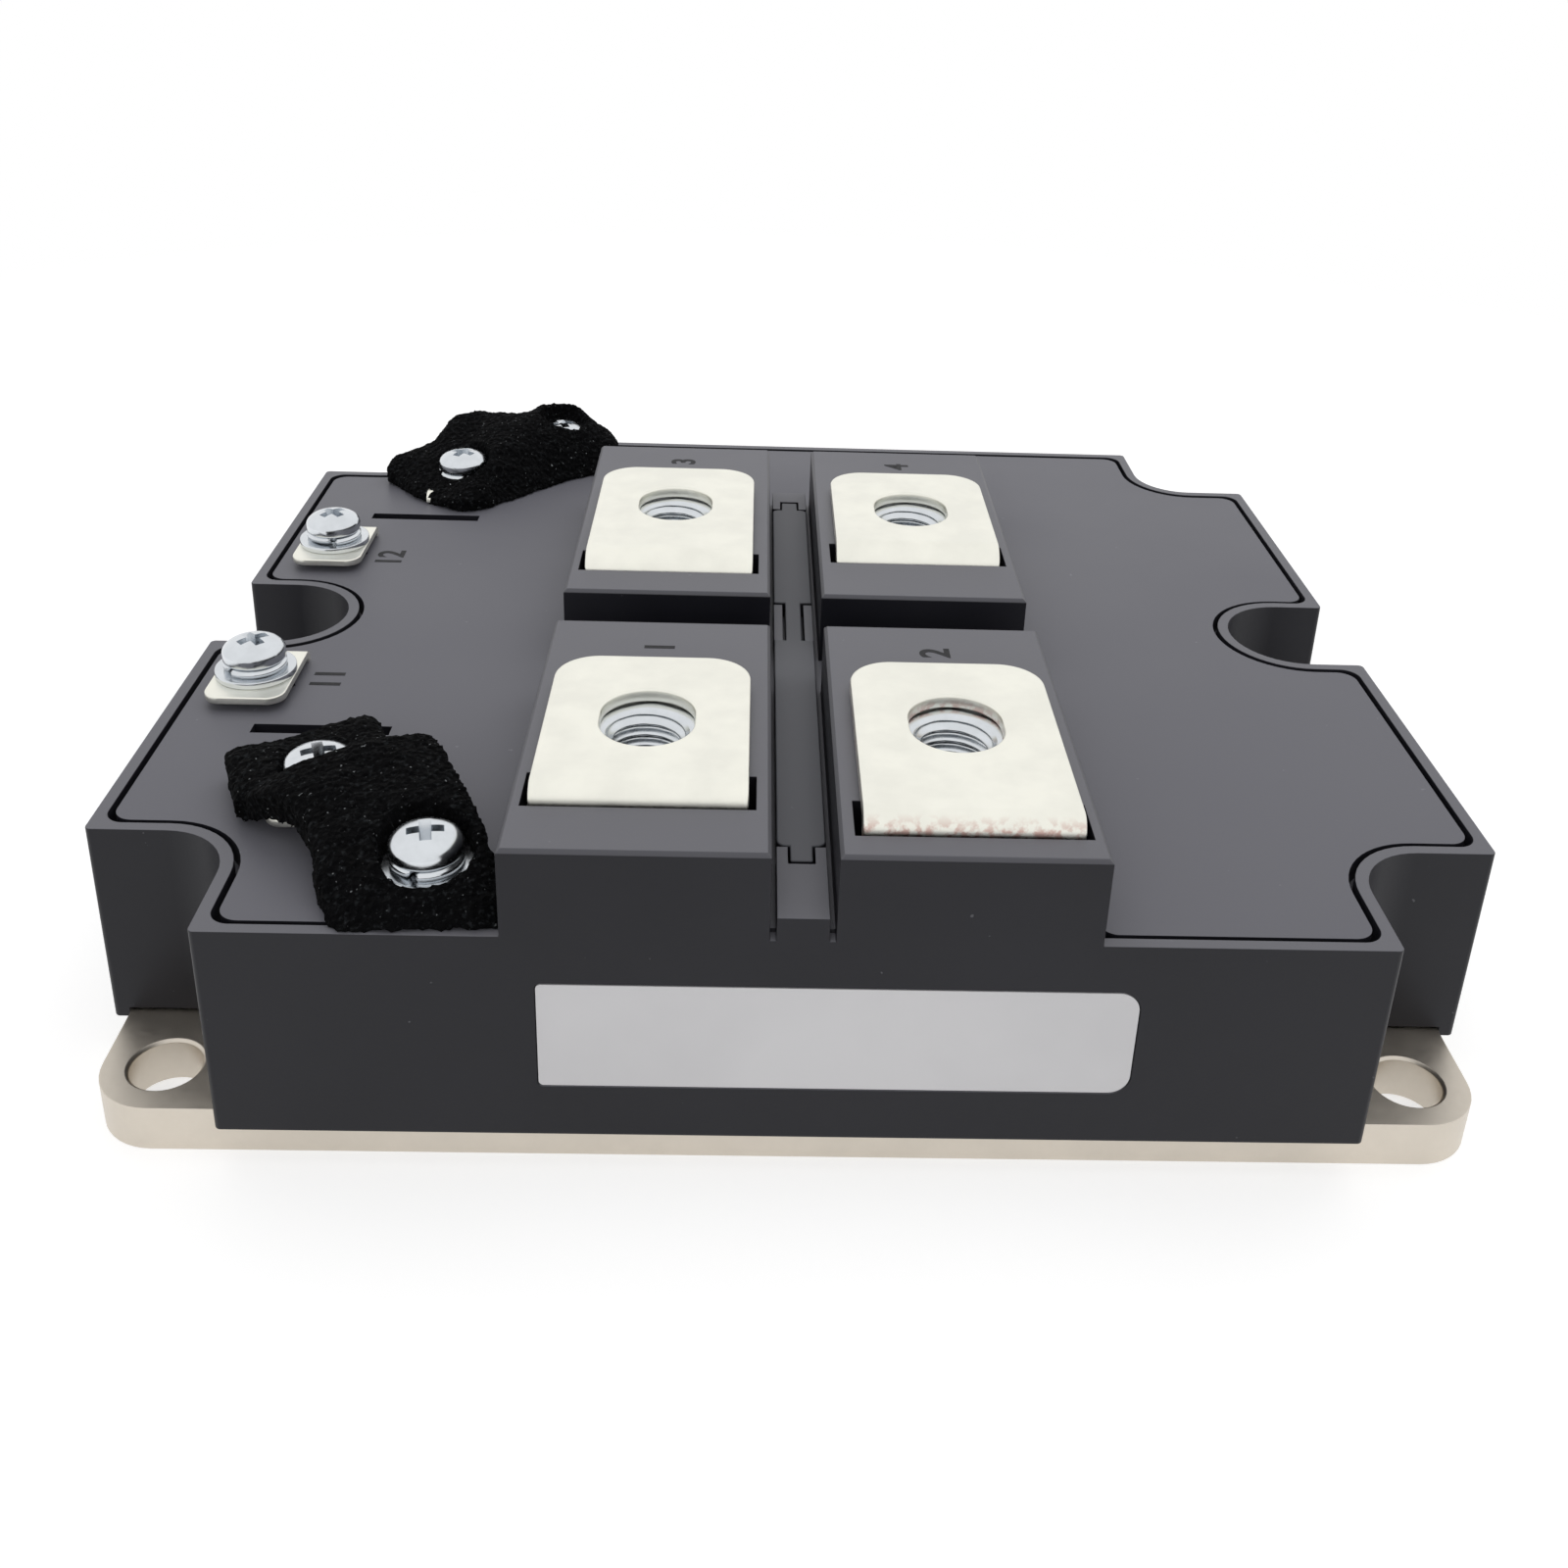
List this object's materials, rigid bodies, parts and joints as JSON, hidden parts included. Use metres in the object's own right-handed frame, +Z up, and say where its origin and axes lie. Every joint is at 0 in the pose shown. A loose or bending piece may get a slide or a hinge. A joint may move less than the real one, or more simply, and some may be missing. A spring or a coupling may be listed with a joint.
{
  "type": "igbt power module",
  "caption": "Flat power semiconductor module: metal baseplate, moulded housing with raised blocks, nut-backed screw terminals, a row of small signal terminals and foam strips over their screws",
  "frame": {"origin": "middle of the baseplate's underside", "axes": "+Z up out of the lid, front wall with the label plate towards -Y, signal terminals towards -X"},
  "size_m": [0.14, 0.13, 0.038],
  "materials": {
    "baseplate": "nickel-plated, fine satin",
    "housing": "matt moulded",
    "lid": "matt moulded",
    "adhesive": "matt",
    "tin": "tin-plated, satin",
    "zinc": "zinc-plated, bright",
    "foam": "open-cell foam",
    "label": "satin film",
    "ceramic": "fired ceramic",
    "solder": "dull",
    "copper": "bare copper",
    "silicon": "metallised silicon",
    "wire": "drawn",
    "gel": "soft clear gel",
    "board": "solder-masked laminate",
    "pin_gold": "gold-plated"
  },
  "bodies": {
    "root": {"baseplate": "baseplate", "case_frame": "housing", "lid": "lid", "centre_bar": "lid", "case_adhesive": "adhesive", "main_terminal_1": "tin", "main_terminal_2": "tin", "main_terminal_3": "tin", "main_terminal_4": "tin", "signal_terminal_1": "tin", "signal_terminal_2": "tin", "signal_terminal_3": "tin", "signal_terminal_4": "tin", "signal_terminal_5": "tin", "signal_terminal_6": "tin", "terminal_nut_1": "zinc", "terminal_nut_2": "zinc", "terminal_nut_3": "zinc", "terminal_nut_4": "zinc", "signal_screws": "zinc", "spring_washers": "zinc", "flat_washers": "zinc", "signal_nuts": "zinc", "foam_strip_front": "foam", "foam_strip_rear": "foam", "label_plate": "label", "ceramic_tile_1": "ceramic", "ceramic_tile_2": "ceramic", "ceramic_tile_3": "ceramic", "ceramic_tile_4": "ceramic", "solder_layers": "solder", "copper_backings": "copper", "copper_circuits": "copper", "igbt_chips": "silicon", "diode_chips": "silicon", "bond_wires": "wire", "silicone_gel": "gel", "gate_board": "board", "gate_pins": "pin_gold"}
  },
  "joints": []
}
